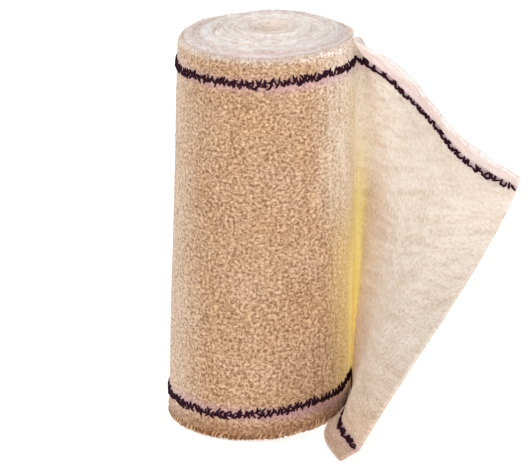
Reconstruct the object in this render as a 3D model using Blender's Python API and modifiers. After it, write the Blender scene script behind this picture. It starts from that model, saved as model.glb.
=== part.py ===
"""Crepe bandage wound into a roll: the roll stands on its end, and its loose end is turned back and hangs open.

The bandage is one woven strip. Two solids show it: the wound roll, whose last turn ends in a step one cloth high,
and the loose end, a sheet that starts against that step, turns outwards round a small bend and runs forwards.

Metres, +Z up. The origin is on the surface the roll stands on, at the middle of its base.
"""

import math

import bmesh
import bpy
import numpy as np

MM = 0.001

# The strip of cloth
CLOTH_WIDTH = 100 * MM  # selvage to selvage, which is the height of the roll
CLOTH_THICKNESS = 1.2 * MM
YARN_INSET = 7.5 * MM  # coloured edge yarn to its selvage

# The wound roll
ROLL_RADIUS = 22.8 * MM  # to the outside of the last turn where it ends, half way up
ROLL_SPREAD = 0.4 * MM  # the foot is wider than this radius, and the head narrower
ROLL_LEAN = 0.029  # the head has slid to the right by this share of the height
CORE_OFFSET = (1.2 * MM, 6.5 * MM)  # the middle of the winding, from the middle of the roll
HEAD_EDGE = 2.4 * MM  # rounding of the turns at the head, on the left
HEAD_EDGE_RIGHT = 1.2 * MM
FOOT_EDGE = 1.4 * MM  # rounding at the foot
FOOT_LIFT = 2.4 * MM  # the outer turns stand this much off the surface on the right, and on it on the left
STEP_DEPTH = 5 * MM  # how far into the head and foot the step of the last turn reaches

# The head of the roll, where the edges of the turns show
HEAD_FALL = 0.8 * MM  # the outer turns stand this much lower on the left
RIDGE_PITCH = 4.4 * MM
RIDGE_HEIGHT = 0.35 * MM
HOLLOW_DEPTH = 2.4 * MM  # over the core
HOLLOW_RADIUS = 4.2 * MM

# Where the lower corner of the loose end rests
REST_HEIGHT = 0.1 * MM  # least height of the middle of the cloth
REST_KNEE = 0.6 * MM  # softness with which it meets that height

# How finely the roll is divided
TURN_STEPS = 72
SIDE_ROWS = 9
EDGE_ROWS = 4
HEAD_RINGS = 15
FOOT_RINGS = 3

# The loose end
GAP = 0.3 * MM  # clear of the roll
START_GAP = 0.5 * MM  # clear of the step
PEEL_FOOT = math.radians(2)  # where it leaves the roll, round from the right-hand side
PEEL_HEAD = math.radians(-12)
BEND_RADIUS = 1.7 * MM
LENGTH_STEPS = 26
WIDTH_STEPS = 20
START_CROWDING = 1.5  # puts more of the steps in the tight bend

# Four lines along the loose end. Each row holds a line's height on the cloth, then the points that it passes,
# from just after the bend to the cut end, in millimetres.
GUIDE_LINES = (
    {"height": 7.5, "after_bend": (25.0, 0.9, 8.3), "first_third": (24.1, -12.0, 8.2),
     "last_third": (21.0, -25.6, 6.2), "cut_end": (24.6, -39.8, 5.0)},
    {"height": 36.0, "after_bend": (26.4, -3.4, 36.1), "first_third": (29.2, -16.8, 33.3),
     "last_third": (30.4, -30.1, 28.5), "cut_end": (37.3, -43.1, 27.9)},
    {"height": 64.0, "after_bend": (32.0, -8.4, 64.0), "first_third": (37.9, -14.3, 55.5),
     "last_third": (43.6, -21.3, 48.2), "cut_end": (52.5, -24.7, 44.6)},
    {"height": 92.5, "after_bend": (28.6, -8.8, 94.3), "first_third": (41.1, -11.6, 83.4),
     "last_third": (52.4, -16.4, 71.4), "cut_end": (64.0, -18.5, 65.4)},
)
ROUTE = ("after_bend", "first_third", "last_third", "cut_end")

# The margins outside the edge yarns stand forward of the cloth between them, by these angles in degrees
MARGIN_SHARES = (0.0, 0.07, 0.25, 0.6, 1.0)  # of the length, from the roll to the cut end
FOOT_MARGIN_TURN = (0, 0, 14, 26, 36)
HEAD_MARGIN_TURN = (0, 30, 27, 32, 36)

CREPE_COLOUR = (0.78, 0.62, 0.43, 1.0)
LOOSE_COLOUR = (0.84, 0.72, 0.56, 1.0)


def smooth_step(value):
    value = np.clip(value, 0.0, 1.0)
    return value * value * (3 - 2 * value)


def peel_angle(height):
    """Angle, from +X, at which the loose end leaves the roll."""
    return PEEL_FOOT + (PEEL_HEAD - PEEL_FOOT) * height / CLOTH_WIDTH


def outer_radius(height):
    return ROLL_RADIUS + ROLL_SPREAD * (1 - 2 * height / CLOTH_WIDTH)


# ---------------------------------------------------------------- the wound roll


def roll_profile():
    """Points down the roll's half section, head to foot: (share of the radius, how far up its part, part)."""
    inner = 1 - STEP_DEPTH / ROLL_RADIUS
    points = [(inner * ring / HEAD_RINGS, 1.0, "head") for ring in range(HEAD_RINGS + 1)]
    points += [(1.0, row / EDGE_ROWS, "head edge") for row in range(EDGE_ROWS + 1)]
    points += [(1.0, 1 - row / (SIDE_ROWS + 1), "side") for row in range(1, SIDE_ROWS + 1)]
    points += [(1.0, 1 - row / EDGE_ROWS, "foot edge") for row in range(EDGE_ROWS + 1)]
    points += [(inner * (1 - ring / FOOT_RINGS), 0.0, "foot") for ring in range(FOOT_RINGS + 1)]
    return points


def rightness(around):
    """1 at the right of the roll, next to the step, and 0 at the left."""
    return ((1 + math.cos(around)) / 2) ** 2


def head_height(radius, turned):
    """Height of the turns' edges: a shallow spiral ridge, lower at the rim, with a hollow over the core."""
    fall = HEAD_FALL * (1 - rightness(2 * math.pi * turned)) * (radius / ROLL_RADIUS) ** 2
    fade = smooth_step(radius / HOLLOW_RADIUS)
    ridge = RIDGE_HEIGHT * fade * math.cos(2 * math.pi * (radius / RIDGE_PITCH - turned))
    hollow = HOLLOW_DEPTH * math.exp(-((radius / HOLLOW_RADIUS) ** 2))
    return CLOTH_WIDTH - fall + ridge - hollow


def roll_point(share, up, part, turned):
    """Where a point of the half section lies after this share of the turn, counted from the step."""
    around = 2 * math.pi * turned
    step = CLOTH_THICKNESS * (1 - turned)
    head_edge = HEAD_EDGE + (HEAD_EDGE_RIGHT - HEAD_EDGE) * rightness(around)
    head_rim = CLOTH_WIDTH - HEAD_FALL * (1 - rightness(around))
    foot_rim = FOOT_LIFT * rightness(around)
    corner = up * math.pi / 2
    if part == "head":
        radius = share * ROLL_RADIUS
        height = head_height(radius, turned)
    elif part == "head edge":
        radius = outer_radius(CLOTH_WIDTH) - step - head_edge * (1 - math.sin(corner))
        height = head_rim - head_edge * (1 - math.cos(corner))
    elif part == "side":
        height = foot_rim + FOOT_EDGE + (head_rim - head_edge - foot_rim - FOOT_EDGE) * up
        radius = outer_radius(height) - step
    elif part == "foot edge":
        radius = outer_radius(0) - step - FOOT_EDGE * (1 - math.sin(corner))
        height = foot_rim + FOOT_EDGE * (1 - math.cos(corner))
    else:
        radius = share * ROLL_RADIUS
        height = 0.0
    angle = around + peel_angle(height)
    inwards = 1 - min(radius / ROLL_RADIUS, 1.0)
    return (
        radius * math.cos(angle) + CORE_OFFSET[0] * inwards + ROLL_LEAN * height,
        radius * math.sin(angle) + CORE_OFFSET[1] * inwards,
        height,
    )


def make_wound_roll():
    """The half section is spun round the axis, then drawn out so that the turn ends one cloth further out."""
    mesh = bpy.data.meshes.new("wound_roll")
    shape = bmesh.new()
    profile = roll_profile()
    station = shape.verts.layers.int.new("station")
    first = []
    for index, (share, _, _) in enumerate(profile):
        vert = shape.verts.new((share * ROLL_RADIUS, 0, CLOTH_WIDTH * (1 - index / len(profile))))
        vert[station] = index
        first.append(vert)
    edges = [shape.edges.new(pair) for pair in zip(first, first[1:])]
    spun = bmesh.ops.spin(
        shape, geom=first + edges, cent=(0, 0, 0), axis=(0, 0, 1), angle=2 * math.pi,
        steps=TURN_STEPS, use_duplicate=False, use_merge=False,
    )
    last = sorted((v for v in spun["geom_last"] if isinstance(v, bmesh.types.BMVert)), key=lambda v: v[station])
    ends = set(last)
    starts = set(first)
    for vert in shape.verts:
        if vert in starts:
            turned = 0.0
        elif vert in ends:
            turned = 1.0
        else:
            turned = math.atan2(vert.co.y, vert.co.x) / (2 * math.pi) % 1.0
        vert.co = roll_point(*profile[vert[station]], turned)
    for upper in range(HEAD_RINGS, len(profile) - FOOT_RINGS - 1):
        shape.faces.new((first[upper], last[upper], last[upper + 1], first[upper + 1]))
    bmesh.ops.remove_doubles(shape, verts=shape.verts, dist=1e-6)
    bmesh.ops.dissolve_degenerate(shape, edges=shape.edges, dist=1e-7)
    bmesh.ops.recalc_face_normals(shape, faces=shape.faces)
    shape.to_mesh(mesh)
    shape.free()
    return mesh


# ---------------------------------------------------------------- the loose end


def smooth_route(points, samples=14):
    """A smooth curve through the points, as many short chords."""
    points = np.array(points)
    along = np.concatenate([[0], np.cumsum(np.linalg.norm(np.diff(points, axis=0), axis=1))])
    slopes = np.gradient(points, along, axis=0)
    chords = []
    for i in range(len(points) - 1):
        span = along[i + 1] - along[i]
        t = np.linspace(0, 1, samples, endpoint=False)[:, None]
        chords.append(
            (2 * t**3 - 3 * t**2 + 1) * points[i]
            + (t**3 - 2 * t**2 + t) * span * slopes[i]
            + (3 * t**2 - 2 * t**3) * points[i + 1]
            + (t**3 - t**2) * span * slopes[i + 1]
        )
    return np.vstack(chords + [points[-1:]])


def guide_curve(line, shares):
    """Points of one guide line, from the step of the roll to the cut end, at these shares of its length."""
    height = line["height"] * MM
    radius = outer_radius(height) - CLOTH_THICKNESS / 2 + GAP
    angle = peel_angle(height) + START_GAP / ROLL_RADIUS
    outwards = np.array([math.cos(angle), math.sin(angle), 0])
    onwards = np.array([-math.sin(angle), math.cos(angle), 0])
    root = radius * outwards + np.array([ROLL_LEAN * height, 0, height])
    points = [
        root + BEND_RADIUS * (outwards * (1 - math.cos(turn)) + onwards * math.sin(turn))
        for turn in np.radians([0, 60, 120])
    ]
    points += [MM * np.array(line[name]) for name in ROUTE]
    route = smooth_route(points)
    along = np.concatenate([[0], np.cumsum(np.linalg.norm(np.diff(route, axis=0), axis=1))])
    return np.stack([np.interp(shares * along[-1], along, route[:, axis]) for axis in range(3)], axis=1)


def between_lines(height, curves):
    """The cloth's points at one height, on the cubic through the four guide lines."""
    heights = [line["height"] * MM for line in GUIDE_LINES]
    total = 0
    for i, curve in enumerate(curves):
        weight = 1.0
        for j, other in enumerate(heights):
            if j != i:
                weight *= (height - other) / (heights[i] - other)
        total = total + weight * curve
    return total


def unit(vectors):
    return vectors / np.linalg.norm(vectors, axis=1)[:, None]


def margin(height, curves, shares):
    """The cloth's points outside an edge yarn, where the margin stands forward of the rest."""
    head = height > CLOTH_WIDTH / 2
    yarn = CLOTH_WIDTH - YARN_INSET if head else YARN_INSET
    line = between_lines(yarn, curves)
    beside = between_lines(yarn - MM if head else yarn + MM, curves)
    outwards = unit(line - beside)
    along = unit(np.gradient(line, axis=0))
    forwards = np.cross(along, outwards) if head else np.cross(outwards, along)
    turn = np.radians(np.interp(shares, MARGIN_SHARES, HEAD_MARGIN_TURN if head else FOOT_MARGIN_TURN))
    direction = outwards * np.cos(turn)[:, None] + forwards * np.sin(turn)[:, None]
    return line + direction * abs(height - yarn)


def keep_off_roll(points):
    """Moves the middle of the cloth out to where its back face just clears the roll."""
    height = points[:, 2]
    middle = ROLL_LEAN * height
    away = np.hypot(points[:, 0] - middle, points[:, 1])
    past_step = np.arctan2(points[:, 1], points[:, 0] - middle) > peel_angle(height)
    clear = outer_radius(height) + GAP + CLOTH_THICKNESS / 2 - CLOTH_THICKNESS * past_step
    stretch = np.maximum(clear / away, 1.0)
    points[:, 0] = middle + (points[:, 0] - middle) * stretch
    points[:, 1] *= stretch
    return points


def lift_off_surface(points):
    """Keeps the cloth from sinking below the surface."""
    above = points[:, 2] - REST_HEIGHT
    points[:, 2] = REST_HEIGHT + (np.hypot(above, REST_KNEE) + above) / 2
    return points


def make_loose_end():
    shares = (np.arange(LENGTH_STEPS + 1) / LENGTH_STEPS) ** START_CROWDING
    curves = [guide_curve(line, shares) for line in GUIDE_LINES]
    mesh = bpy.data.meshes.new("loose_end")
    sheet = bmesh.new()
    bmesh.ops.create_grid(sheet, x_segments=LENGTH_STEPS, y_segments=WIDTH_STEPS, size=0.5)
    rows = {}
    for vert in sheet.verts:
        step = round((vert.co.x + 0.5) * LENGTH_STEPS)
        row = round((vert.co.y + 0.5) * WIDTH_STEPS)
        if row not in rows:
            height = CLOTH_WIDTH * row / WIDTH_STEPS
            inside = YARN_INSET <= height <= CLOTH_WIDTH - YARN_INSET
            points = between_lines(height, curves) if inside else margin(height, curves, shares)
            rows[row] = keep_off_roll(lift_off_surface(points))
        vert.co = rows[row][step]
    sheet.to_mesh(mesh)
    sheet.free()
    return mesh


# ---------------------------------------------------------------- the scene


def clear_scene():
    for obj in list(bpy.data.objects):
        bpy.data.objects.remove(obj, do_unlink=True)


def make_material(name, colour, roughness):
    material = bpy.data.materials.new(name)
    material.use_nodes = True
    shader = material.node_tree.nodes["Principled BSDF"]
    shader.inputs["Base Color"].default_value = colour
    shader.inputs["Roughness"].default_value = roughness
    shader.inputs["Metallic"].default_value = 0.0
    return material


def place(mesh, material, collection):
    mesh.materials.append(material)
    obj = bpy.data.objects.new(mesh.name, mesh)
    collection.objects.link(obj)
    mesh.shade_smooth()
    mesh.set_sharp_from_angle(angle=math.radians(50))
    return obj


def main():
    clear_scene()
    bandage = bpy.data.collections.new("crepe_bandage")
    bpy.context.scene.collection.children.link(bandage)
    place(make_wound_roll(), make_material("wound_crepe", CREPE_COLOUR, 0.95), bandage)
    loose_end = place(make_loose_end(), make_material("loose_crepe", LOOSE_COLOUR, 0.95), bandage)
    thickness = loose_end.modifiers.new("thickness", "SOLIDIFY")
    thickness.thickness = CLOTH_THICKNESS
    thickness.offset = 0
    thickness.use_even_offset = True


main()
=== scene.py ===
"""A crepe bandage wound into a roll, standing on its end, with its loose end turned back and hanging open.

Metres, +Z up. The strip of cloth is followed along its length, in the order of winding, and across its width,
from the selvage at the foot of the roll to the one at its head.
"""

import math

import bpy
import numpy as np
from mathutils import Matrix, Vector


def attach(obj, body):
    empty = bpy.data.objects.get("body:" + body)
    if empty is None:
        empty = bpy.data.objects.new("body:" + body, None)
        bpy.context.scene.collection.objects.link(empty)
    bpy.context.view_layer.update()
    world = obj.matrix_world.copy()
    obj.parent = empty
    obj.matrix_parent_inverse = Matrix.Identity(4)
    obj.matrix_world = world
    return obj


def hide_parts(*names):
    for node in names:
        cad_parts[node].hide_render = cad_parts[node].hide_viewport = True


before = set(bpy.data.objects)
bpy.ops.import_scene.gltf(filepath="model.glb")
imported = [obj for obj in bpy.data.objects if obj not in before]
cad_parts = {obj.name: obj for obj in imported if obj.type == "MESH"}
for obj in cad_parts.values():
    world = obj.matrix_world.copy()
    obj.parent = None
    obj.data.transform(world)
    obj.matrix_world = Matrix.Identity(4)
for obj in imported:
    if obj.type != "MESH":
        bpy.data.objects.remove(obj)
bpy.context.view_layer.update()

MM = 0.001
FULL_TURN = 2 * math.pi

# The strip, as wound
CLOTH_WIDTH = 100 * MM
TURN_THICKNESS = 1.2 * MM  # also the step where the last turn ends
YARN_INSET = 7.5 * MM  # from each selvage to its edge yarn
LOOSE_THICKNESS = 1.0 * MM

# The roll. Its right is +X, and behind it is +Y.
ROLL_RADIUS = 22.8 * MM
ROLL_SPREAD = 0.4 * MM  # how much wider the foot is, and how much narrower the head
ROLL_LEAN = 0.029  # to the right, for each metre up
CORE_OFFSET = (1.2 * MM, 6.5 * MM)  # how far the innermost turns lie to the right and behind
HEAD_EDGE = 2.4 * MM  # how far in the rim of the head is rounded
HEAD_EDGE_RIGHT = 1.2 * MM
HEAD_FALL = 0.8 * MM  # how much lower the rim of the head is at the left
HEAD_FALL_BEHIND = 0.4 * MM
HEAD_FALL_CORNERS = 1.0 * MM
FOOT_EDGE = 1.4 * MM
FOOT_LIFT = 2.4 * MM  # how far the foot is lifted at the right
SELVAGE_ROUND = 0.8 * MM  # how far in the selvage rounds over before it turns down
SELVAGE_LIP = ((1.0, -0.09), (1.12, 0.02), (1.18, 0.3), (1.2, 0.8), (1.2, 1.8))  # (inwards, down) in mm
RIDGE_PITCH = 4.4 * MM  # of the low ridges that wind round the head
RIDGE_HEIGHT = 0.35 * MM
HOLLOW_DEPTH = 2.4 * MM  # of the hollow in the middle of the head
HOLLOW_RADIUS = 4.2 * MM

# Where the loose end leaves the roll, and the lines that it follows, in mm
PEEL_FOOT = math.radians(2)
PEEL_HEAD = math.radians(-12)
BEND_RADIUS = 1.7 * MM
BEND_TURNS = np.radians([0, 60, 120])  # the places on the bend that each line goes through
ROLL_GAP = 0.1 * MM  # what the loose end keeps clear of the roll
REST_HEIGHT = 0.1 * MM  # the lowest that the middle of the cloth lies
REST_KNEE = 0.6 * MM
LOWEST = 0.02 * MM  # the lowest that its surface lies
GUIDE_LINES = (
    {"height": 7.5, "after_bend": (25.0, 0.9, 8.3), "first_third": (24.1, -12.0, 8.2),
     "last_third": (21.0, -25.6, 6.2), "cut_end": (24.6, -39.8, 5.0)},
    {"height": 36.0, "after_bend": (26.4, -3.4, 36.1), "first_third": (29.2, -16.8, 33.3),
     "last_third": (30.4, -30.1, 28.5), "cut_end": (37.3, -43.1, 27.9)},
    {"height": 64.0, "after_bend": (32.0, -8.4, 64.0), "first_third": (37.9, -14.3, 55.5),
     "last_third": (43.6, -21.3, 48.2), "cut_end": (52.5, -24.7, 44.6)},
    {"height": 92.5, "after_bend": (28.6, -8.8, 94.3), "first_third": (41.1, -11.6, 83.4),
     "last_third": (52.4, -16.4, 71.4), "cut_end": (64.0, -18.5, 65.4)},
)
ROUTE = ("after_bend", "first_third", "last_third", "cut_end")
MARGIN_SHARES = (0.0, 0.07, 0.25, 0.6, 1.0)  # places along the loose end
FOOT_MARGIN_TURN = (0, 0, 14, 26, 36)  # how many degrees its margins lean forwards there
HEAD_MARGIN_TURN = (0, 22, 25, 32, 36)
HEAD_DRAWN_IN = 0.36  # shares of the margin's width, at the fold and just after it
HEAD_LET_OUT = 0.15

# Heights of the crepe's bumps, and their lengths from bump to bump, along and across the strip
WOUND_PEBBLE, WOUND_PEBBLE_SIZE = 0.065 * MM, (1.3 * MM, 1.45 * MM)
WOUND_WAVE, WOUND_WAVE_SIZE = 0.05 * MM, (9 * MM, 30 * MM)
LOOSE_PEBBLE, LOOSE_PEBBLE_SIZE = 0.02 * MM, (1.7 * MM, 1.7 * MM)
LOOSE_RIPPLE, LOOSE_RIPPLE_SIZE = 0.14 * MM, (7 * MM, 3.5 * MM)

# Fineness of the meshes
TURN_COLUMNS = 336
TURN_ROWS = 248
INNER_COLUMNS = 400
HEAD_RINGS = 92
LAST_RINGS = 8
FOOT_RINGS = 24
LOOSE_COLUMNS = 140
LOOSE_ROWS = 280
HEAD_FIBRES = 5200


# ---------------------------------------------------------------- small helpers


def smooth_step(value):
    """0 up to 0, 1 from 1 on, and a soft rise in between."""
    value = np.clip(value, 0.0, 1.0)
    return value * value * (3 - 2 * value)


def past(value, start, span):
    """Rises from 0 at the start to 1 a span beyond it."""
    return smooth_step((value - start) / span)


def short_of(value, end, span):
    """Rises from 0 at the end to 1 a span before it."""
    return smooth_step((end - value) / span)


def bell(value, width, middle=0.0):
    """1 in the middle, fading away over that width to both sides."""
    return np.exp(-(((value - middle) / width) ** 2))


def unit(vectors):
    return vectors / np.maximum(np.linalg.norm(vectors, axis=-1, keepdims=True), 1e-12)


def crinkles(shape, spacing, size, seed, spread=0.35):
    """Even, worm-like bumps over a grid of points: height with mean 0 and deviation 1, from one spacing of the
    points along each way and one size, the length from bump to bump, along each way."""
    heights = np.random.default_rng(seed).standard_normal(shape)
    along = np.fft.fftfreq(shape[0], spacing[0])[:, None] * size[0]
    across = np.fft.fftfreq(shape[1], spacing[1])[None, :] * size[1]
    heights = np.fft.ifft2(np.fft.fft2(heights) * bell(np.hypot(along, across), spread, middle=1)).real
    return heights / heights.std()


def drift(count, length, seed):
    """A smooth random line of values with deviation 1, which changes over that many steps."""
    weights = bell(np.arange(-3 * length, 3 * length + 1), length)
    noise = np.random.default_rng(seed).standard_normal(count + len(weights))
    values = np.convolve(noise, weights, mode="same")[:count]
    return values / values.std()


def only(obj):
    bpy.ops.object.select_all(action="DESELECT")
    obj.select_set(True)
    bpy.context.view_layer.objects.active = obj


def cloth_grid(name, columns, rows):
    """A flat grid, and the column and row of each of its points."""
    bpy.ops.object.select_all(action="DESELECT")
    bpy.ops.mesh.primitive_grid_add(x_subdivisions=columns, y_subdivisions=rows, size=1)
    obj = bpy.context.active_object
    obj.name = obj.data.name = name
    flat = np.empty(len(obj.data.vertices) * 3, np.float32)
    obj.data.vertices.foreach_get("co", flat)
    flat = flat.reshape(-1, 3)
    column = np.rint((flat[:, 0] + 0.5) * columns).astype(int)
    row = np.rint((flat[:, 1] + 0.5) * rows).astype(int)
    return obj, column, row


def place_points(obj, points):
    obj.data.vertices.foreach_set("co", np.asarray(points, np.float32).ravel())
    obj.data.update()


def unfold(obj, along, across):
    """The piece's own map holds each point's place on the flat strip, in metres."""
    corners = np.empty(len(obj.data.loops), np.int32)
    obj.data.loops.foreach_get("vertex_index", corners)
    flat = np.stack([along[corners], across[corners]], axis=1)
    obj.data.uv_layers[0].data.foreach_set("uv", flat.astype(np.float32).ravel())


def mark(obj, name, values):
    """Stores a value at each point, or the same one at all, for the material to read."""
    layer = obj.data.attributes.new(name, "FLOAT", "POINT")
    values = np.broadcast_to(np.asarray(values, np.float32), len(obj.data.vertices))
    layer.data.foreach_set("value", np.ascontiguousarray(values))


def close_seams(obj, within=1e-7):
    only(obj)
    bpy.ops.object.mode_set(mode="EDIT")
    bpy.ops.mesh.select_all(action="SELECT")
    bpy.ops.mesh.remove_doubles(threshold=within)
    bpy.ops.mesh.normals_make_consistent(inside=False)
    bpy.ops.object.mode_set(mode="OBJECT")


def finish(obj, material):
    only(obj)
    obj.data.materials.clear()
    obj.data.materials.append(material)
    bpy.ops.object.shade_smooth()
    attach(obj, "root")
    return obj


def grid_normals(points):
    """Normals of a grid of points, from its columns to its rows by the right hand."""
    return unit(np.cross(np.gradient(points, axis=0), np.gradient(points, axis=1)))


def closed(values):
    """The first column once more at the end, which closes the turn."""
    return np.concatenate([values, values[:1]], axis=0)


# ---------------------------------------------------------------- the roll's form


def peel_angle(height):
    """Where the last turn ends and the loose end begins, from the roll's right."""
    return PEEL_FOOT + (PEEL_HEAD - PEEL_FOOT) * height / CLOTH_WIDTH


def outer_radius(height):
    return ROLL_RADIUS + ROLL_SPREAD * (1 - 2 * height / CLOTH_WIDTH)


def rightness(around):
    """1 at the step, which is at the roll's right, and 0 opposite."""
    return ((1 + np.cos(around)) / 2) ** 2


def head_fall(around):
    """How far the rim of the head lies below the strip's full width, round from the step."""
    behind = np.clip(np.sin(around), 0, 1)
    corners = HEAD_FALL_BEHIND + HEAD_FALL_CORNERS * np.sin(2 * around) ** 2
    return HEAD_FALL * (1 - rightness(around)) + corners * behind


def head_edge_size(around):
    return HEAD_EDGE + (HEAD_EDGE_RIGHT - HEAD_EDGE) * rightness(around)


def on_roll(radius, height, around):
    """Points of the roll, round from the step."""
    angle = around + peel_angle(height)
    inwards = 1 - np.minimum(radius / ROLL_RADIUS, 1.0)
    x = radius * np.cos(angle) + CORE_OFFSET[0] * inwards + ROLL_LEAN * height
    y = radius * np.sin(angle) + CORE_OFFSET[1] * inwards
    return np.stack([x, y, height], axis=-1)


def turn_outside(turned):
    """How far the outer turn's outside lies inside the roll's full radius, round from the step."""
    return TURN_THICKNESS * (1 - turned)


def rounded_edge(size):
    """(inwards, down) from the top of an edge to its outside, from where the selvage rounds over."""
    corner = np.linspace(math.asin(max(1 - SELVAGE_ROUND / size, 0)), math.pi / 2, 12)
    return size * (1 - np.sin(corner)), size * (1 - np.cos(corner))


def turn_profile(turned, rows):
    """(radius, height, place across the strip) of the last turn, over its head selvage, down its outside and
    round its foot selvage, closer together at both ends."""
    around = FULL_TURN * turned
    head_rim = CLOTH_WIDTH - head_fall(around)
    foot_rim = FOOT_LIFT * rightness(around)
    lip_in, lip_down = np.array(SELVAGE_LIP).T * MM
    head_in, head_down = rounded_edge(head_edge_size(around))
    foot_in, foot_up = rounded_edge(FOOT_EDGE)
    inwards = np.concatenate([lip_in[::-1], head_in, foot_in[::-1], lip_in])
    height = np.concatenate(
        [
            head_rim - head_down[0] - lip_down[::-1],
            head_rim - head_down,
            foot_rim + foot_up[::-1],
            foot_rim + foot_up[0] + lip_down,
        ]
    )
    wall = np.interp(height, [0, CLOTH_WIDTH], [outer_radius(0), outer_radius(CLOTH_WIDTH)])
    radius = wall - turn_outside(turned) - inwards
    along = np.concatenate([[0], np.cumsum(np.hypot(np.diff(radius), np.diff(height)))])

    end_size, crowding = 4 * MM, 1.6
    fine = np.linspace(0, along[-1], 2000)
    density = 1 + crowding * (bell(fine, end_size) + bell(along[-1] - fine, end_size))
    places = np.concatenate([[0], np.cumsum(density[1:])])
    even = np.interp(np.linspace(0, places[-1], rows + 1), places, fine)
    radius, height = np.interp(even, along, radius), np.interp(even, along, height)
    middle = np.interp(-CLOTH_WIDTH / 2, -height, even)
    return radius, height, CLOTH_WIDTH / 2 - (even - middle)


def selvage_lift():
    """How far each place of the head selvage stands up or down, all along the strip, inwards from its end."""
    places = (int(ROLL_RADIUS / TURN_THICKNESS) + 4) * INNER_COLUMNS
    waves = 0.16 * MM * drift(places, 46, seed=40)
    tufts = 0.09 * MM * drift(places, 9, seed=41)
    return waves + tufts


def lift_at(lifts, turns_in, turned):
    return lifts[np.rint((turns_in - turned + 1) * INNER_COLUMNS).astype(int)]


# ---------------------------------------------------------------- the loose end's form


def how_far(points):
    """How far along their line the points lie."""
    return np.concatenate([[0], np.cumsum(np.linalg.norm(np.diff(points, axis=0), axis=1))])


def smooth_route(points, samples=14):
    """A smooth line through the points, with that many samples from one to the next."""
    points = np.array(points)
    along = how_far(points)
    slopes = np.gradient(points, along, axis=0)
    chords = []
    for i in range(len(points) - 1):
        span = along[i + 1] - along[i]
        t = np.linspace(0, 1, samples, endpoint=False)[:, None]
        chords.append(
            (2 * t**3 - 3 * t**2 + 1) * points[i]
            + (t**3 - 2 * t**2 + t) * span * slopes[i]
            + (3 * t**2 - 2 * t**3) * points[i + 1]
            + (t**3 - t**2) * span * slopes[i + 1]
        )
    return np.vstack(chords + [points[-1:]])


def guide_curve(line, shares):
    """A guide line from the step, round the bend and on to the cut end."""
    height = line["height"] * MM
    radius = outer_radius(height) - LOOSE_THICKNESS / 2
    angle = peel_angle(height)
    outwards = np.array([math.cos(angle), math.sin(angle), 0])
    onwards = np.array([-math.sin(angle), math.cos(angle), 0])
    root = radius * outwards + np.array([ROLL_LEAN * height, 0, height])
    points = [
        root + BEND_RADIUS * (outwards * (1 - math.cos(turn)) + onwards * math.sin(turn))
        for turn in BEND_TURNS
    ]
    points += [MM * np.array(line[name]) for name in ROUTE]
    route = smooth_route(points)
    along = how_far(route)
    return np.stack([np.interp(shares * along[-1], along, route[:, axis]) for axis in range(3)], axis=1)


def between_lines(height, curves):
    """The line at a height, from one cubic through the four guide curves."""
    heights = [line["height"] * MM for line in GUIDE_LINES]
    total = 0
    for i, curve in enumerate(curves):
        weight = 1.0
        for j, other in enumerate(heights):
            if j != i:
                weight *= (height - other) / (heights[i] - other)
        total = total + weight * curve
    return total


def margin(height, curves, shares):
    """A line beyond an edge yarn: the margin goes straight on from the yarn and leans forwards."""
    head = height > CLOTH_WIDTH / 2
    yarn = CLOTH_WIDTH - YARN_INSET if head else YARN_INSET
    line = between_lines(yarn, curves)
    beside = between_lines(yarn - MM if head else yarn + MM, curves)
    outwards = unit(line - beside)
    along = unit(np.gradient(line, axis=0))
    forwards = np.cross(along, outwards) if head else np.cross(outwards, along)
    turn = np.radians(np.interp(shares, MARGIN_SHARES, HEAD_MARGIN_TURN if head else FOOT_MARGIN_TURN))
    direction = outwards * np.cos(turn)[:, None] + forwards * np.sin(turn)[:, None]
    return line + direction * abs(height - yarn)


def keep_off_roll(points):
    """Moves the points out of the roll, whose surface lies one thickness further in past the step."""
    height = points[:, 2]
    middle = ROLL_LEAN * height
    away = np.hypot(points[:, 0] - middle, points[:, 1])
    past_step = np.arctan2(points[:, 1], points[:, 0] - middle) > peel_angle(height) - 1e-4
    clear = outer_radius(height) + LOOSE_THICKNESS / 2 + ROLL_GAP
    clear = clear - (TURN_THICKNESS + 2 * ROLL_GAP) * past_step
    stretch = np.maximum(clear / away, 1.0)
    points[:, 0] = middle + (points[:, 0] - middle) * stretch
    points[:, 1] *= stretch
    return points


def lift_off_surface(points):
    """Eases the cloth up to where it rests, instead of through the ground."""
    above = points[:, 2] - REST_HEIGHT
    points[:, 2] = REST_HEIGHT + (np.hypot(above, REST_KNEE) + above) / 2
    return points


def loose_net(columns, rows):
    """The middle of the loose cloth, from the step to the cut end and from foot selvage to head selvage."""
    shares = np.linspace(0, 1, columns + 1)
    curves = [guide_curve(line, shares) for line in GUIDE_LINES]
    net = []
    for row in range(rows + 1):
        height = CLOTH_WIDTH * row / rows
        inside = YARN_INSET <= height <= CLOTH_WIDTH - YARN_INSET
        points = between_lines(height, curves) if inside else margin(height, curves, shares)
        net.append(keep_off_roll(lift_off_surface(points)))
    return tuck_root(np.stack(net, axis=1), shares, rows)


def tuck_root(net, shares, rows):
    """Draws both selvages in towards their edge yarns where the loose end leaves the roll."""
    foot_yarn = round(rows * YARN_INSET / CLOTH_WIDTH)
    head_yarn = rows - foot_yarn
    drawn_in, let_out = bell(shares, 0.04, middle=0.045), bell(shares, 0.09, middle=0.17)
    head_drawn = 1 - HEAD_DRAWN_IN * drawn_in + HEAD_LET_OUT * let_out
    foot_drawn = 1 - FOOT_LIFT / YARN_INSET * bell(shares, 0.08)
    for yarn, selvage, drawn in (
        (head_yarn, slice(head_yarn, None), head_drawn),
        (foot_yarn, slice(None, foot_yarn), foot_drawn),
    ):
        line = net[:, yarn : yarn + 1]
        net[:, selvage] = line + (net[:, selvage] - line) * drawn[:, None, None]
    return net


# ---------------------------------------------------------------- materials


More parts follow.
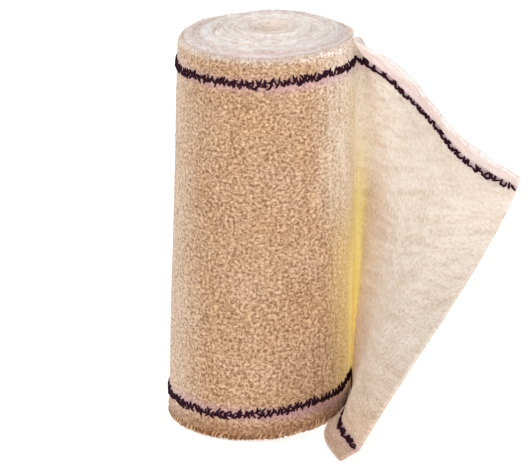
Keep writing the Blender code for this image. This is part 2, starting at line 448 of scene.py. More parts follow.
def linear(red, green, blue):
    """A colour as seen on a screen, 0 to 255, as the shader's own values."""
    values = []
    for level in (red, green, blue):
        level /= 255
        values.append(level / 12.92 if level <= 0.04045 else ((level + 0.055) / 1.055) ** 2.4)
    return (*values, 1.0)


class Recipe:
    """A material under construction: its nodes are added one by one and linked as they come."""

    def __init__(self, name):
        self.material = bpy.data.materials.new(name)
        self.material.use_nodes = True
        self.tree = self.material.node_tree
        self.shader = self.tree.nodes["Principled BSDF"]

    def node(self, kind, settings=(), **inputs):
        node = self.tree.nodes.new("ShaderNode" + kind)
        for name, value in dict(settings).items():
            setattr(node, name, value)
        for name, value in inputs.items():
            self.feed(node.inputs[name.replace("_", " ")], value)
        return node

    def feed(self, socket, value):
        if isinstance(value, bpy.types.NodeSocket):
            self.tree.links.new(value, socket)
        else:
            socket.default_value = value

    def maths(self, operation, *values, clamp=False):
        node = self.node("Math", {"operation": operation, "use_clamp": clamp})
        for socket, value in zip(node.inputs, values):
            self.feed(socket, value)
        return node.outputs[0]

    def times(self, value, share):
        return self.maths("MULTIPLY", value, share)

    def off_middle(self, value):
        return self.maths("SUBTRACT", value, 0.5)

    def total(self, *parts):
        """The sum of (value, share) parts, each value times its share."""
        height = self.times(*parts[0])
        for part in parts[1:]:
            height = self.maths("ADD", height, self.times(*part))
        return height

    def value_of(self, attribute):
        return self.node("Attribute", {"attribute_name": attribute}).outputs["Fac"]

    def scaled(self, where, scale):
        return self.node("Mapping", Vector=where, Scale=scale).outputs["Vector"]

    def on_strip(self, scale=(1000, 1000, 1000)):
        """The place on the flat strip, in mm unless told otherwise."""
        return self.scaled(self.node("UVMap").outputs["UV"], scale)

    def in_space(self, scale=(1000, 1000, 1000)):
        """The place in space, in mm unless told otherwise."""
        return self.scaled(self.node("TexCoord").outputs["Object"], scale)

    def noise(self, where, scale, detail=2.0, roughness=0.5, distortion=0.0):
        node = self.node(
            "TexNoise", Vector=where, Scale=scale, Detail=detail, Roughness=roughness, Distortion=distortion
        )
        return node.outputs["Fac"]

    def bump(self, height, depth, strength=1.0):
        return self.node("Bump", Strength=strength, Distance=depth, Height=height).outputs["Normal"]

    def ramp(self, value, *stops):
        node = self.node("ValToRGB", Fac=value)
        elements = node.color_ramp.elements
        while len(elements) < len(stops):
            elements.new(0.5)
        for element, (position, colour) in zip(elements, stops):
            element.position = position
            element.color = colour
        return node.outputs["Color"]

    def mix(self, share, first, second, how="MIX"):
        node = self.tree.nodes.new("ShaderNodeMix")
        node.data_type = "RGBA"
        node.blend_type = how
        sockets = {s.identifier: s for s in node.inputs}
        self.feed(sockets["Factor_Float"], share)
        self.feed(sockets["A_Color"], first)
        self.feed(sockets["B_Color"], second)
        return next(s for s in node.outputs if s.identifier == "Result_Color")

    def finish(self, colour, roughness, **shader):
        self.feed(self.shader.inputs["Base Color"], colour)
        self.shader.inputs["Roughness"].default_value = roughness
        for name, value in shader.items():
            self.feed(self.shader.inputs[name.replace("_", " ")], value)
        return self.material


TAN = linear(181, 143, 109)
# Painted shade for the crepe's pits, and a painted highlight for its crests, on the tan
TAN_PIT_SHADE = linear(136, 98, 68)
TAN_CREST_HIGHLIGHT = linear(216, 180, 144)
# A painted lit copy of the tan, with painted shade for its pits and a painted highlight for its crests
TAN_LIT = linear(218, 203, 189)
TAN_LIT_PIT_SHADE = linear(186, 158, 134)
TAN_LIT_SOFT_PIT_SHADE = linear(205, 185, 166)
TAN_LIT_CREST_HIGHLIGHT = linear(227, 216, 206)
# Painted yellow light that bounces into and shines through the fold
FOLD_BOUNCE_LIGHT = linear(234, 218, 128)
STAIN = linear(192, 150, 170)
ROSY = linear(234, 212, 214)
BROWN_SHADE = linear(178, 130, 92)
SHEEN = linear(255, 240, 224)
FLUFF_GAP = linear(222, 198, 180)
FLUFF = linear(248, 238, 233)
FLUFF_CREST = linear(255, 253, 252)
# Painted shade for the grooves between the turns and for the hollow in the middle of the head
GROOVE_SHADE = linear(208, 182, 160)
HOLLOW_SHADE = linear(222, 196, 174)
RIM_TINT = linear(232, 219, 221)
PLUM_DARK = linear(26, 0, 8)
PLUM = linear(62, 18, 38)

COTTON_ROUGHNESS = 0.95
COTTON_SPECULAR = 0.15


def crepe_material(name, pebble_scale, curl, lit_pit_shade, column_share, ripple_share, relief_depth):
    """Pebbled crepe on the strip's own map: painted shade in the pits between tight yarns, painted highlights
    on the crests, and a painted lit copy of the tan.
    """
    crepe = Recipe(name)
    where = crepe.on_strip()
    pebble = crepe.noise(crepe.scaled(where, pebble_scale), 1.0, detail=0.0, distortion=curl)
    columns = crepe.noise(crepe.scaled(where, (0.75, 0.09, 1)), 1.0, detail=1.0, distortion=0.4)
    ripples = crepe.noise(crepe.in_space((130, 130, 560)), 1.0, roughness=0.6, distortion=0.3)
    height = crepe.total(
        (pebble, 0.86 - column_share - ripple_share),
        (ripples, ripple_share),
        (columns, column_share),
        (crepe.times(crepe.off_middle(columns), crepe.value_of("ribs")), 0.25),
        (crepe.noise(where, 3.4, detail=1.5, roughness=0.6), 0.02),
        (crepe.value_of("relief"), 0.1),
    )
    # Painted shade in the pits and painted highlights on the crests, by the height of the bumps
    tan = crepe.ramp(height, (0.31, TAN_PIT_SHADE), (0.5, TAN), (0.7, TAN_CREST_HIGHLIGHT))
    lit_tan = crepe.ramp(height, (0.31, lit_pit_shade), (0.5, TAN_LIT), (0.7, TAN_LIT_CREST_HIGHLIGHT))
    uneven = crepe.times(crepe.off_middle(crepe.noise(where, 0.08)), 0.3)
    # Painted light: the lit copy of the tan comes in by the painted lightness, with a little random unevenness
    # in tone
    colour = crepe.mix(crepe.maths("ADD", crepe.value_of("painted_lightness"), uneven, clamp=True), tan, lit_tan)
    colour = crepe.mix(crepe.times(crepe.value_of("rosy"), 0.6), colour, ROSY)
    colour = crepe.mix(crepe.value_of("stain"), colour, STAIN)
    # Painted yellow bounce light in the fold
    colour = crepe.mix(crepe.value_of("fold_bounce_light"), colour, FOLD_BOUNCE_LIGHT)
    colour = crepe.mix(crepe.value_of("shade"), colour, crepe.mix(1.0, colour, BROWN_SHADE, "MULTIPLY"))
    fluff = crepe.ramp(height, (0.38, FLUFF_GAP), (0.5, FLUFF), (0.6, FLUFF_CREST))
    selvage = crepe.value_of("selvage")
    broken = crepe.times(crepe.off_middle(height), crepe.times(selvage, 0.9))
    colour = crepe.mix(crepe.maths("ADD", selvage, broken, clamp=True), colour, fluff)
    return crepe.finish(
        colour,
        COTTON_ROUGHNESS,
        Normal=crepe.bump(height, relief_depth),
        Sheen_Weight=0.6,
        Sheen_Roughness=0.35,
        Sheen_Tint=SHEEN,
        Specular_IOR_Level=COTTON_SPECULAR,
        # Painted light: the cloth emits its own colour where the glow attribute says, for light bouncing into
        # and through the fold
        Emission_Color=colour,
        Emission_Strength=crepe.times(crepe.value_of("glow"), 0.5),
    )


def turn_edge_material():
    """The fluffy selvages of the wound turns: streaks of fibre that run along the turns."""
    edge = Recipe("selvage_fluff")
    streak = edge.noise(edge.on_strip((420, 1700, 1000)), 1.0, detail=2.5, roughness=0.6, distortion=0.6)
    tuft = edge.noise(edge.in_space(), 1.3, roughness=0.55, distortion=0.5)
    height = edge.total((streak, 0.6), (tuft, 0.4))
    colour = edge.ramp(height, (0.36, FLUFF_GAP), (0.5, FLUFF), (0.62, FLUFF_CREST))
    # Painted shade in the grooves and the hollow, and painted highlights on the ridges' crests
    for name, share, tint in (("groove", 0.4, GROOVE_SHADE), ("ridge", 0.8, FLUFF_CREST), ("hollow", 0.95, HOLLOW_SHADE)):
        colour = edge.mix(edge.times(edge.value_of(name), share), colour, tint)
    colour = edge.mix(edge.value_of("rim"), colour, edge.mix(1.0, colour, RIM_TINT, "MULTIPLY"))
    return edge.finish(
        colour,
        COTTON_ROUGHNESS,
        Normal=edge.bump(height, 0.35 * MM),
        Sheen_Weight=0.2,
        Sheen_Roughness=0.5,
        Specular_IOR_Level=COTTON_SPECULAR,
    )


def yarn_material():
    yarn = Recipe("edge_yarn_plum")
    twist = yarn.noise(yarn.in_space(), 3.0)
    colour = yarn.ramp(twist, (0.35, PLUM_DARK), (0.72, PLUM))
    return yarn.finish(
        colour, 0.9, Normal=yarn.bump(twist, 0.15 * MM, strength=0.8), Specular_IOR_Level=COTTON_SPECULAR
    )


def fluff_material(name, darker, lighter):
    fluff = Recipe(name)
    colour = fluff.ramp(fluff.noise(fluff.in_space(), 0.5), (0.35, darker), (0.65, lighter))
    return fluff.finish(colour, COTTON_ROUGHNESS, Specular_IOR_Level=COTTON_SPECULAR, Sheen_Weight=0.2)


# ---------------------------------------------------------------- the pieces


def make_outer_turn(material, lifts):
    """The last turn as wound: its outside in full, its step, its two selvages, and a hidden inner wall. Its
    outside and the places of its rows across the strip come back with it."""
    obj, column, row = cloth_grid("outer_turn", TURN_COLUMNS + 1, TURN_ROWS)
    turned = np.arange(TURN_COLUMNS + 1) / TURN_COLUMNS
    around = FULL_TURN * turned
    profiles = [turn_profile(share, TURN_ROWS) for share in turned]
    radius, height, across = (np.array([p[i] for p in profiles]) for i in range(3))
    at_head = past(across, CLOTH_WIDTH - 3 * MM, 2.5 * MM)
    height = height + at_head * lift_at(lifts, 0, turned)[:, None]
    outside = on_roll(radius, height, around[:, None])
    shape = outside.shape[:2]
    spacing = (FULL_TURN * ROLL_RADIUS / TURN_COLUMNS, CLOTH_WIDTH / TURN_ROWS)
    pebbles = crinkles(shape, spacing, WOUND_PEBBLE_SIZE, seed=4)
    bumps = WOUND_PEBBLE * pebbles + WOUND_WAVE * crinkles(shape, spacing, WOUND_WAVE_SIZE, seed=5)
    fade = smooth_step(np.minimum(around, FULL_TURN - around) / 0.04)[:, None]
    fade = fade * smooth_step((radius - radius[:, :1]) / (0.4 * MM))
    outside = outside - grid_normals(outside) * (bumps * fade)[..., None]
    outside[..., 2] = np.maximum(outside[..., 2], LOWEST)
    place_points(obj, closed(outside)[column, row])

    across = closed(across)[column, row]
    length = FULL_TURN * ROLL_RADIUS * np.append(turned, 1 + TURN_THICKNESS / ROLL_RADIUS)
    unfold(obj, length[column], across)
    mark_cloth(obj, across, roll_tints(FULL_TURN * closed(turned)[column], across))
    mark(obj, "relief", 0.5 + 0.28 * closed(pebbles)[column, row])
    close_wall(obj, row, TURN_ROWS)
    close_seams(obj)
    return finish(obj, material), outside, profiles[TURN_COLUMNS // 2][2]


def close_wall(obj, row, last_row):
    """Bridges the wall's two inner rims, head and foot."""
    only(obj)
    rims = {int(i) for i in np.flatnonzero((row == 0) | (row == last_row))}
    bpy.ops.object.mode_set(mode="EDIT")
    bpy.ops.mesh.select_all(action="DESELECT")
    bpy.ops.object.mode_set(mode="OBJECT")
    for edge in obj.data.edges:
        edge.select = edge.vertices[0] in rims and edge.vertices[1] in rims
    bpy.ops.object.mode_set(mode="EDIT")
    bpy.ops.mesh.select_mode(type="EDGE")
    bpy.ops.mesh.bridge_edge_loops()
    bpy.ops.object.mode_set(mode="OBJECT")


GLOW_LIMIT = 1.3


def near_top(up):
    """1 beside the head selvage, and 0 below the head's edge yarn."""
    return past(up, 0.84, 0.1)


def above_foot(up):
    """0 at the foot selvage, and 1 above the foot's edge yarn."""
    return past(up, 0.055, 0.05)


def roll_tints(turn_angle, across):
    """The outer turn's looks, by the angle round from the step and by the share of the height, with painted
    light and shade among them.
    """
    to_fold = FULL_TURN - turn_angle
    up = across / CLOTH_WIDTH
    # Painted light: lighter on the upper right flank by the fold, round the left limb and behind, and near the
    # head by the fold
    flank = short_of(to_fold, 0.95, 0.55) * past(up, 0.45, 0.2)
    left = short_of(turn_angle, math.pi + 1.05, 0.6)
    behind = short_of(turn_angle, math.pi, 1.2)
    painted_lightness = 0.05 + 0.7 * flank + 0.32 * left + 0.1 * behind
    painted_lightness = painted_lightness + 0.4 * near_top(up) * short_of(to_fold, 0.5, 0.4)
    # Painted yellow bounce light beside the fold, strongest low down, fading out near the head and below the
    # foot's edge yarn
    fold_bounce_light = 0.6 * short_of(to_fold, 0.36, 0.3) + 0.4 * short_of(to_fold, 0.85, 0.55)
    fold_bounce_light = fold_bounce_light * (0.2 + 0.75 * short_of(up, 0.66, 0.3)) * (1 - 0.8 * near_top(up)) * above_foot(up)
    # Painted glow by the fold and beside it, fading out below the foot's edge yarn
    glow = short_of(to_fold, 0.9, 0.8) * (0.08 + 0.72 * short_of(up, 0.65, 0.35) + 0.2 * near_top(up))
    glow = glow + 0.15 * short_of(to_fold, 1.25, 0.45) * (1 + short_of(up, 0.5, 0.3))
    glow = (glow + 0.08 * short_of(to_fold, 0.12, 0.08)) * above_foot(up)
    shade = 0.5 * short_of(across, 6 * MM, 3 * MM) + 0.5 * short_of(across, 2.4 * MM, 1.4 * MM)
    shade = shade + 0.6 * short_of(to_fold, 0.6, 0.4) * (1 - above_foot(up))
    ribs = short_of(to_fold, 1.25, 0.5)
    selvage = 0.85 * past(across, CLOTH_WIDTH - 3.4 * MM, 4.6 * MM)
    return dict(
        painted_lightness=painted_lightness, fold_bounce_light=fold_bounce_light, glow=glow, shade=shade, ribs=ribs, rosy=0, selvage=selvage
    )


def mark_cloth(obj, across, tints):
    """Marks the cloth with its tints, painted light and shade among them, and with the stain that the edge
    yarns leave beside them.
    """
    from_yarn = np.minimum(np.abs(across - YARN_INSET), np.abs(across - (CLOTH_WIDTH - YARN_INSET)))
    mark(obj, "stain", 0.5 * bell(from_yarn, 1.6 * MM))
    for name, values in tints.items():
        mark(obj, name, np.clip(values, 0, GLOW_LIMIT if name == "glow" else 1))


def make_inner_turns(material, lifts):
    """The edges of the other turns at the head and the foot, as one plug inside the outer turn. What comes back
    is the head, which its fibres lie on."""
    rows = HEAD_RINGS + LAST_RINGS + 1 + LAST_RINGS + FOOT_RINGS
    obj, column, row = cloth_grid("inner_turns", INNER_COLUMNS + 1, rows)
    turned = np.arange(INNER_COLUMNS + 1) / INNER_COLUMNS
    head_radius = ring_radii(outer_radius(CLOTH_WIDTH), turned, HEAD_RINGS)
    foot_radius = ring_radii(outer_radius(0), turned, FOOT_RINGS)[:, ::-1]
    head, head_groove = head_relief(head_radius, turned, lifts)
    foot, foot_groove = foot_relief(foot_radius, turned, lifts)
    radius = np.concatenate([head_radius, foot_radius], axis=1)
    height = np.concatenate([head, foot], axis=1)
    groove = np.concatenate([head_groove, foot_groove], axis=1)
    net = on_roll(radius, height, FULL_TURN * turned[:, None])
    place_points(obj, closed(net)[column, row])

    reach = closed(turned)[column]
    rings = closed(radius)[column, row]
    unfold(obj, FULL_TURN * reach * 12 * MM, rings + turn_outside(reach))
    # Painted shade in the grooves and the hollow, and painted highlights on the ridges' crests, strongest three
    # quarters of the way out
    mark(obj, "groove", closed(groove)[column, row])
    mark(obj, "hollow", bell(rings, 1.25 * HOLLOW_RADIUS))
    mark(obj, "rim", past(rings / ROLL_RADIUS, 0.62, 0.25))
    crest = (0.5 + 0.5 * np.cos(FULL_TURN * (rings / RIDGE_PITCH - reach))) ** 2
    mark(obj, "ridge", crest * (0.45 + 0.55 * bell(rings, 2.5 * MM, middle=0.75 * ROLL_RADIUS)))
    close_seams(obj, 1e-6)
    finish(obj, material)
    return net[:, : HEAD_RINGS + LAST_RINGS + 1]


def ring_radii(full_radius, turned, rings):
    """Radii of the plug's rings: circles, and then the rings that share out the last turn under the outer
    one."""
    clear = 0.05 * MM
    innermost = full_radius - 2 * TURN_THICKNESS - clear
    circles = innermost * np.linspace(0, 1, rings + 1)
    last = TURN_THICKNESS * turned[:, None] * np.linspace(0, 1, LAST_RINGS + 1)[1:]
    return np.concatenate([np.tile(circles, (len(turned), 1)), innermost + last], axis=1)


def turn_edges(radius, turned, full_radius, lifts):
    """(rise, groove) of the turns' selvages: rounded crests, one turn apart and of uneven height."""
    phase = (full_radius - turn_outside(turned[:, None]) - radius) / TURN_THICKNESS
    lift = lift_at(lifts, np.floor(phase).astype(int), turned[:, None])
    crest = np.abs(np.sin(math.pi * phase)) ** 0.7
    rough = 0.5 + 0.5 * smooth_step((lift / MM + 0.3) / 0.6)
    groove = (1 - crest) * rough * (0.25 + 0.75 * past(phase, 0.3, 0.5))
    groove_depth = 0.5 * MM
    return lift * crest - groove_depth * groove, groove


def head_relief(radius, turned, lifts):
    """(height, groove) of the head: its fall, rounded rim, ridges and hollow, and its turns' selvages."""
    around = FULL_TURN * turned[:, None]
    full = outer_radius(CLOTH_WIDTH)
    edge = head_edge_size(around)
    into_edge = np.clip((radius - (full - turn_outside(turned[:, None]) - edge)) / edge, 0, 0.999)
    base = CLOTH_WIDTH - head_fall(around) * (radius / ROLL_RADIUS) ** 2
    base = base - edge * (1 - np.sqrt(1 - into_edge**2))
    fade = smooth_step(radius / HOLLOW_RADIUS)
    base = base + RIDGE_HEIGHT * fade * np.cos(FULL_TURN * (radius / RIDGE_PITCH - turned[:, None]))
    base = base - HOLLOW_DEPTH * bell(radius, HOLLOW_RADIUS)
    rise, groove = turn_edges(radius, turned, full, lifts)
    return base + rise * fade, groove * fade


def foot_relief(radius, turned, lifts):
    """(height, groove) of the foot, flat in the middle and lifted at the right."""
    flat_radius = ROLL_RADIUS - 5 * MM
    lift = FOOT_LIFT * rightness(FULL_TURN * turned[:, None]) * past(radius, flat_radius, 3 * MM)
    rise, groove = turn_edges(radius, turned, outer_radius(0), lifts)
    lowest, longest_rise = 0.05 * MM, 0.16 * MM
    return lift + lowest + np.maximum(longest_rise - rise, 0), groove


def loose_faces(middle, along, across):
    """The two faces of the loose cloth, inside and outside of the fold, and the pebbles on each."""
    shape = middle.shape[:2]
    spacing = (along[-1] / LOOSE_COLUMNS, CLOTH_WIDTH / LOOSE_ROWS)
    ripple = LOOSE_RIPPLE * crinkles(shape, spacing, LOOSE_RIPPLE_SIZE, seed=11)
    ripple = ripple * (0.3 + 0.7 * past(across / CLOTH_WIDTH, 0.35, 0.25))
    from_cut = along[-1] - along
    edge = np.minimum(np.minimum(across, CLOTH_WIDTH - across)[None, :], from_cut[:, None])
    round_over = np.sqrt(1 - (1 - np.clip(edge / (0.5 * MM), 0.04, 1)) ** 2)
    fade = (smooth_step(along / (9 * MM)) * (0.3 + 0.7 * smooth_step(from_cut / (3 * MM))))[:, None]
    normals = grid_normals(middle)
    faces, pebbles = [], []
    for side, seed in ((1, 12), (-1, 13)):
        bumps = LOOSE_PEBBLE * crinkles(shape, spacing, LOOSE_PEBBLE_SIZE, seed)
        away = side * (LOOSE_THICKNESS / 2 * round_over) + (ripple + side * bumps * round_over) * fade
        points = middle + normals * away[..., None]
        points[..., 2] = np.maximum(points[..., 2], LOWEST)
        faces.append(points)
        pebbles.append(bumps)
    return faces, pebbles


def make_loose_end(material):
    """The loose end, from the step to its cut end. Its two faces and the places of their columns and rows come
    back with it."""
    obj, column, row = cloth_grid("loose_cloth", LOOSE_COLUMNS, LOOSE_ROWS)
    middle = loose_net(LOOSE_COLUMNS, LOOSE_ROWS)
    length = np.linalg.norm(np.diff(middle, axis=0), axis=2).mean(axis=1).sum()
    along = np.linspace(0, length, LOOSE_COLUMNS + 1)
    across = np.linspace(0, CLOTH_WIDTH, LOOSE_ROWS + 1)
    faces, pebbles = loose_faces(middle, along, across)

    only(obj)
    doubled = obj.modifiers.new("thickness", "SOLIDIFY")
    doubled.thickness = 0.1
    doubled.offset = -1
    bpy.ops.object.modifier_apply(modifier=doubled.name)
    place_points(obj, np.concatenate([points[column, row] for points in faces]))

    each_along, each_across = along[np.tile(column, 2)], across[np.tile(row, 2)]
    inside = np.repeat([1.0, 0.0], len(column))
    unfold(obj, -each_along, each_across)
    mark_cloth(obj, each_across, loose_tints(each_along, each_across, length, inside))
    pebbles = np.concatenate([bumps[column, row] for bumps in pebbles])
    mark(obj, "relief", 0.5 + 0.28 * pebbles / LOOSE_PEBBLE)
    close_seams(obj, 1e-9)
    return finish(obj, material), faces, along, across


def loose_tints(along, across, length, inside):
    """The loose cloth's looks, by the way from the fold and by the share of the width. The painted yellow
    bounce light in the fold, and the painted glow, are on the inside only."""
    up = across / CLOTH_WIDTH
    edge = np.minimum(across, CLOTH_WIDTH - across)
    # Painted light: lighter towards the cut end and the head, darker towards the foot
    painted_lightness = 0.6 + 0.4 * past(along / length, 0.1, 0.45) - 0.65 * short_of(up, 0.45, 0.4)
    painted_lightness = painted_lightness + 0.5 * past(up, 0.55, 0.2)
    at_crease = short_of(along, 1.8 * MM, 1.2 * MM)
    near_fold = short_of(along, 9 * MM, 7 * MM)
    beside_fold = short_of(along, 22 * MM, 20 * MM)
    # Painted yellow bounce light in the fold, fading out near the head and below the foot's edge yarn
    fold_bounce_light = 0.7 * near_fold * (0.1 + 0.9 * short_of(up, 0.8, 0.3)) * (1 - 0.9 * near_top(up)) * above_foot(up)
    # Painted glow by the fold, beside it and over the lower cloth; it is kept on the inside only
    glow = near_fold * (0.1 * short_of(up, 0.7, 0.4) + 0.12 * short_of(up, 0.35, 0.15))
    glow = glow + beside_fold * (0.26 + 0.02 * past(up, 0.55, 0.25)) + 0.08 * at_crease
    glow = glow * above_foot(up) + 0.14 * short_of(up, 0.55, 0.3) + 0.08 * short_of(up, 0.3, 0.2)
    shade = 0.3 * short_of(up, 0.12, 0.1)
    rosy = (0.2 + 0.7 * past(up, 0.4, 0.2)) * short_of(edge, YARN_INSET + 3 * MM, 3 * MM)
    rosy = rosy * past(along, 2 * MM, 7 * MM)
    selvage = 0.35 * short_of(edge, 1.2 * MM, MM)
    return dict(
        painted_lightness=painted_lightness,
        fold_bounce_light=fold_bounce_light * inside,
        glow=glow * inside,
        shade=shade,
        ribs=0,
        rosy=rosy,
        selvage=selvage,
    )


def yarn_floats(face, line, rise, pitch, half_length, wander, seed):
    """The edge yarn as it shows on one face of the cloth: short curved floats that cross its line at
    alternate slants, and dive into the cloth at both ends. The line and the rise are single values, or one for
    each place along."""
    along = face[2]
    line, rise = np.broadcast_to(line, along.shape), np.broadcast_to(rise, along.shape)
    rng = np.random.default_rng(seed)
    inset = 0.4 * half_length
    count = int((along[-1] - 2 * inset) / pitch)
    centres = inset + (np.arange(count) + 0.5) * pitch + rng.normal(0, 0.16 * pitch, count)
    slants = np.where(np.arange(count) % 3, 1, -1) * np.radians(rng.normal(62, 18, count))
    halves = half_length * rng.uniform(0.75, 1.2, count)
    asides = wander * (rng.standard_normal(count) + 0.6 * drift(count, 5, seed + 1))
    curls = rng.normal(0, 0.3, count)
    sunk = 0.12 * MM
    t = np.linspace(-1, 1, 7)
    arch = 1 - t**2
    paths = []
    for centre, slant, half, aside, curl in zip(centres, slants, halves, asides, curls):
        hook = curl * arch
        forward = centre + half * (math.cos(slant) * t - math.sin(slant) * hook)
        beside = np.interp(centre, along, line) + aside
        beside = beside + half * (math.sin(slant) * t + math.cos(slant) * hook)
        place, facing = on_grid(face, forward, beside)
        near_cut = 0.2 + 0.8 * short_of(centre, along[-1], 1.5 * half_length)
        loop = np.interp(centre, along, rise) * near_cut
        paths.append(place + facing * (loop * arch - sunk)[:, None])
    return paths


def on_grid(face, forward, beside):
    """Places and normals on a face of the cloth, by how far along and across the strip. A face is its points,
    its normals, and the places of its columns along and of its rows across."""
    points, normals, along, across = face
    column = np.interp(forward, along, np.arange(len(along)))
    row = np.interp(beside, across, np.arange(len(across)))
    c = np.minimum(column.astype(int), len(along) - 2)
    r = np.minimum(row.astype(int), len(across) - 2)
    right, up = (column - c)[:, None], (row - r)[:, None]
    found = []
    for field in (points, normals):
        low = field[c, r] * (1 - up) + field[c, r + 1] * up
        high = field[c + 1, r] * (1 - up) + field[c + 1, r + 1] * up
        found.append(low * (1 - right) + high * right)
    return found[0], unit(found[1])


def tubes(name, paths, radius, thicknesses, material, roundness):
    """One piece of many tubes, one along each path, with its own thickness at each point."""
    curve = bpy.data.curves.new(name, "CURVE")
    curve.dimensions = "3D"
    curve.bevel_depth = radius
    curve.bevel_resolution = roundness
    curve.use_fill_caps = True
    for path, thickness in zip(paths, thicknesses):
        spline = curve.splines.new("POLY")
        path[:, 2] = np.maximum(path[:, 2], radius)
        spline.points.add(len(path) - 1)
        spline.points.foreach_set("co", np.c_[path, np.ones(len(path))].ravel())
        spline.points.foreach_set("radius", thickness)
    obj = bpy.data.objects.new(name, curve)
    bpy.context.scene.collection.objects.link(obj)
    only(obj)
    bpy.ops.object.convert(target="MESH")
    return finish(bpy.context.active_object, material)


def edge_yarn(name, paths, radius, material, seed):
    """Floats of yarn, thickest in the middle."""
    rng = np.random.default_rng(seed)
    thicknesses = [
        rng.uniform(0.8, 1.2) * (1 - 0.35 * np.linspace(-1, 1, len(path)) ** 2) for path in paths
    ]
    return tubes(name, paths, radius, thicknesses, material, roundness=1)


def strands(name, paths, radius, material):
    """Fibres on the wound cloth, thinner towards their ends."""
    thicknesses = [np.linspace(1, 0.35, len(path)) for path in paths]
    tubes(name, paths, radius, thicknesses, material, roundness=0)


def strand_paths(roots, directions, normals, lengths, seed, points=5):
    """Short curled fibres: each leaves its root along its direction and wanders."""
    rng = np.random.default_rng(seed)
    t = np.linspace(0, 1, points)[:, None]
    paths = []
    for root, direction, normal, length in zip(roots, directions, normals, lengths):
        side = np.cross(direction, normal)
        bend = rng.normal(0, 0.5, 2)
        curl = side * bend[0] * t**2 + normal * 0.35 * bend[1] * t**2
        paths.append(root + length * (direction * t + curl))
    return paths


def head_strands(head, material):
    """Loose fibres that lie along the turns at the head, shorter, flatter and less in line near the rim."""
    rng = np.random.default_rng(7)
    normals = grid_normals(head)
    normals *= np.where(normals[..., 2:3] < 0, -1, 1)
    runs = unit(np.gradient(head, axis=0))
    share = np.sqrt(rng.uniform(0.01, 1, HEAD_FIBRES))
    at_rim = HEAD_FIBRES // 6
    share[:at_rim] = rng.uniform(0.86, 1, at_rim)
    ring = np.clip((share * (head.shape[1] - 1)).astype(int), 2, head.shape[1] - 2)
    turn = rng.integers(1, head.shape[0] - 1, HEAD_FIBRES)
    roots, run, normal = head[turn, ring], runs[turn, ring], normals[turn, ring]
    outwards = unit(np.cross(run, normal))
    tilt = rng.normal(0, 0.5, HEAD_FIBRES) * (1 + 2 * past(share, 0.8, 0.1))
    rise = rng.uniform(0.0, 0.22, HEAD_FIBRES) * (1 - 0.8 * past(share, 0.75, 0.2))
    directions = unit(run + outwards * tilt[:, None] + normal * rise[:, None])
    lengths = rng.uniform(1.5, 4.5, HEAD_FIBRES) * MM * (0.4 + 0.6 * share)
    lengths = lengths * (1 - 0.5 * past(share, 0.8, 0.1))
    paths = strand_paths(roots, directions, normal, lengths, seed=8)
    highest_rise = 0.7 * MM
    for path in paths:
        path[:, 2] = np.minimum(path[:, 2], path[0, 2] + highest_rise)
    strands("head_fluff", paths, 0.05 * MM, material)


def selvage_threads(name, face, material, line, slope, count, length, radius, seed):
    """Short ends of thread that lie on the wound turn beside a selvage: slope is how far each runs round as
    it rises."""
    rng = np.random.default_rng(seed)
    reach = face[2][-1]
    roots = (np.arange(count) + 0.5) / count * reach + rng.normal(0, 0.3, count) * reach / count
    lines = line + rng.normal(0, 0.15, count) * length
    lengths = length * rng.uniform(0.6, 1.3, count)
    slopes = slope + rng.normal(0, 0.25, count)
    t = np.linspace(0, 1, 5)
    paths = []
    for root, start, size, slant in zip(np.clip(roots, 2 * MM, reach - 2 * MM), lines, lengths, slopes):
        place, facing = on_grid(face, root + size * slant * t, start + size * t)
        paths.append(place + facing * (0.4 * radius + 0.1 * MM * np.sin(math.pi * t))[:, None])
    strands(name, paths, radius, material)


def make_roll_yarns(face, material):
    """The two edge yarns of the outer turn. The one at the foot rises and falls a little round the roll."""
    foot_line = YARN_INSET + 0.68 * MM * np.cos(face[2] / ROLL_RADIUS)
    paths = []
    floats = dict(rise=0.4 * MM, pitch=0.45 * MM, half_length=1.02 * MM, wander=0.3 * MM)
    for line, seed in ((foot_line, 20), (CLOTH_WIDTH - YARN_INSET, 30)):
        paths += yarn_floats(face, line, **floats, seed=seed)
    return edge_yarn("edge_yarns_wound", paths, 0.27 * MM, material, seed=60)


def make_loose_yarns(faces, along, across, material):
    """The two edge yarns of the loose end, on both faces. The one at the head starts higher, at the fold. The
    one at the foot lies flat but for its last part, and on the inside it starts a few floats past the fold."""
    head_line = CLOTH_WIDTH - YARN_INSET + 1.6 * MM * bell(along, 6 * MM)
    foot_rise = MM * (1 - 0.85 * short_of(along, 0.75 * along[-1], 6 * MM))
    floats = dict(pitch=0.85 * MM, half_length=1.2 * MM, wander=0.2 * MM)
    paths = []
    for side, points in zip((1, -1), faces):
        face = (points, side * grid_normals(points), along, across)
        foot = yarn_floats(face, YARN_INSET, rise=foot_rise, **floats, seed=24)
        head = yarn_floats(face, head_line, rise=MM, **floats, seed=34)
        paths += foot[5:] + head if side > 0 else foot[:-2] + head[:-2]
    return edge_yarn("edge_yarns_loose", paths, 0.31 * MM, material, seed=70)


# ---------------------------------------------------------------- the studio


IMAGE_WIDTH = 531
FOCAL_LENGTH_PX = 4000
SENSOR = 36.0
CAMERA_TARGET = Vector((2.25 * MM, 0.0, 46.8 * MM))
CAMERA_DISTANCE = 1.0
CAMERA_ELEVATION = math.radians(19.5)
CAMERA_ROLL = math.radians(-0.4)
WHITE = (1, 1, 1, 1)
PAPER = (0.9, 0.9, 0.9, 1)
PAPER_GLOW = 0.5
ROOM_LIGHT = 0.55
LIGHTS = (  # name, place, width and power
    ("key", (-0.5, -0.65, 0.85), 0.25, 2.8),
    ("front", (0.02, -1.0, 0.42), 0.35, 2.6),
    ("side", (0.85, -0.55, 0.45), 0.5, 2.2),
    ("back", (-0.5, 0.6, 0.6), 0.5, 2.2),
)


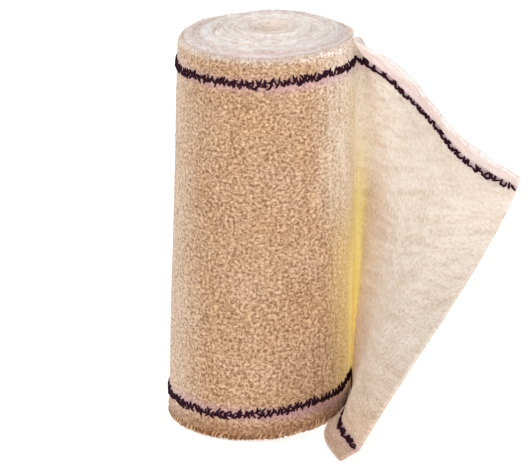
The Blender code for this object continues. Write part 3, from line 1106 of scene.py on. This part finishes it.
def make_camera():
    data = bpy.data.cameras.new("camera")
    data.sensor_width = SENSOR
    data.sensor_fit = "HORIZONTAL"
    data.lens = FOCAL_LENGTH_PX / IMAGE_WIDTH * SENSOR
    data.clip_start = 0.05
    data.clip_end = 20
    camera = bpy.data.objects.new("camera", data)
    bpy.context.scene.collection.objects.link(camera)
    back = Vector((0, -math.cos(CAMERA_ELEVATION), math.sin(CAMERA_ELEVATION)))
    right = Vector((1, 0, 0))
    turned_right = right * math.cos(CAMERA_ROLL) + back.cross(right) * math.sin(CAMERA_ROLL)
    turned_up = back.cross(turned_right)
    turn = Matrix((turned_right, turned_up, back)).transposed().to_4x4()
    camera.matrix_world = Matrix.Translation(CAMERA_TARGET + back * CAMERA_DISTANCE) @ turn
    bpy.context.scene.camera = camera


def soft_light(name, place, width, power):
    data = bpy.data.lights.new(name, "AREA")
    data.shape = "DISK"
    data.size = width
    data.energy = power
    light = bpy.data.objects.new(name, data)
    bpy.context.scene.collection.objects.link(light)
    light.location = place
    light.rotation_euler = (CAMERA_TARGET - Vector(place)).to_track_quat("-Z", "Y").to_euler()


def make_studio():
    scene = bpy.context.scene
    scene.view_settings.view_transform = "Standard"
    world = bpy.data.worlds.new("studio")
    scene.world = world
    world.use_nodes = True
    background = world.node_tree.nodes["Background"]
    background.inputs["Color"].default_value = WHITE
    background.inputs["Strength"].default_value = ROOM_LIGHT
    for light in LIGHTS:
        soft_light(*light)
    bpy.ops.object.select_all(action="DESELECT")
    bpy.ops.mesh.primitive_plane_add(size=6)
    floor = bpy.context.active_object
    floor.name = "floor"
    paper = Recipe("white_paper").finish(PAPER, 0.9, Emission_Color=WHITE, Emission_Strength=PAPER_GLOW)
    floor.data.materials.append(paper)


def main():
    make_camera()
    make_studio()
    wound_crepe = crepe_material(
        "crepe_wound",
        pebble_scale=(1.36, 1.55, 1),
        curl=0.7,
        lit_pit_shade=TAN_LIT_PIT_SHADE,
        column_share=0.12,
        ripple_share=0.0,
        relief_depth=0.45 * MM,
    )
    loose_crepe = crepe_material(
        "crepe_loose",
        pebble_scale=(1.3, 1.5, 1),
        curl=0.4,
        lit_pit_shade=TAN_LIT_SOFT_PIT_SHADE,
        column_share=0.0,
        ripple_share=0.52,
        relief_depth=0.75 * MM,
    )
    selvage = turn_edge_material()
    plum = yarn_material()
    fluff = fluff_material("cotton_fluff", linear(232, 218, 208), linear(252, 250, 249))
    threads = fluff_material("selvage_threads", linear(220, 196, 174), linear(246, 234, 224))
    fringe = fluff_material("foot_fringe", linear(150, 108, 72), linear(232, 196, 154))

    lifts = selvage_lift()
    outer_turn, outside, rows_across = make_outer_turn(wound_crepe, lifts)
    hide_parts("wound_roll")
    head = make_inner_turns(selvage, lifts)
    loose, faces, along, across = make_loose_end(loose_crepe)
    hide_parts("loose_end")

    outside = outside[:, ::-1]
    turn_along = FULL_TURN * ROLL_RADIUS * np.linspace(0, 1, TURN_COLUMNS + 1)
    face = (outside, grid_normals(outside), turn_along, rows_across[::-1])
    selvage_threads(
        "foot_threads", face, fringe, line=-0.3 * MM, slope=0.75, count=190, length=2.2 * MM,
        radius=0.26 * MM, seed=90
    )
    selvage_threads(
        "head_threads", face, threads, line=CLOTH_WIDTH - 2.0 * MM, slope=0.1, count=800, length=2.2 * MM,
        radius=0.07 * MM, seed=94
    )
    roll_yarn = make_roll_yarns(face, plum)
    loose_yarn = make_loose_yarns(faces, along, across, plum)
    head_strands(head, fluff)


main()
